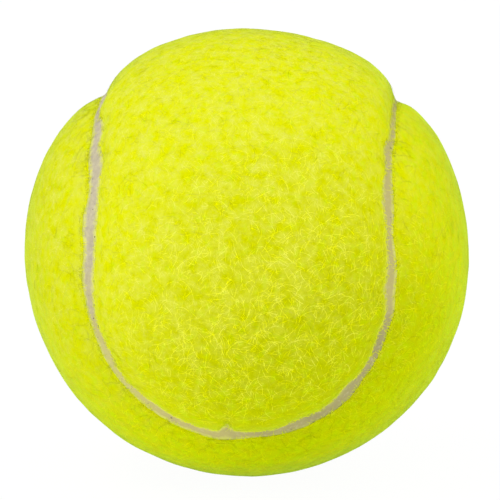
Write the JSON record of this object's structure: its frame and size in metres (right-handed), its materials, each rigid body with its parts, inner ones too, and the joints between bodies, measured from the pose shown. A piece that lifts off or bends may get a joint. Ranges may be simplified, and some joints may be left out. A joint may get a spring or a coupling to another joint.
{
  "type": "tennis ball",
  "caption": "Hollow rubber ball for racket play, with a felt cover in dumbbell-shaped panels joined by one sunken curved seam.",
  "frame": {"origin": "centre of the ball", "axes": "+Z through the neck of the upper felt panel, whose lobes reach down along -Y and +Y; the picture looks along +Y at the lobe on -Y"},
  "size_m": [0.067, 0.067, 0.067],
  "materials": {
    "core_rubber": "moulded, matt",
    "cement": "cured rubber cement, satin",
    "felt": "dyed needled felt with a raised nap",
    "seam": "cured seam cement, matt, slightly rough"
  },
  "bodies": {
    "root": {"core_half_upper": "core_rubber", "core_half_lower": "core_rubber", "core_joint_cement": "cement", "core_cement_coat": "cement", "felt_backing_upper": "cement", "felt_backing_lower": "cement", "felt_panel_upper": "felt", "felt_panel_lower": "felt", "seam_strip": "seam"}
  },
  "joints": []
}
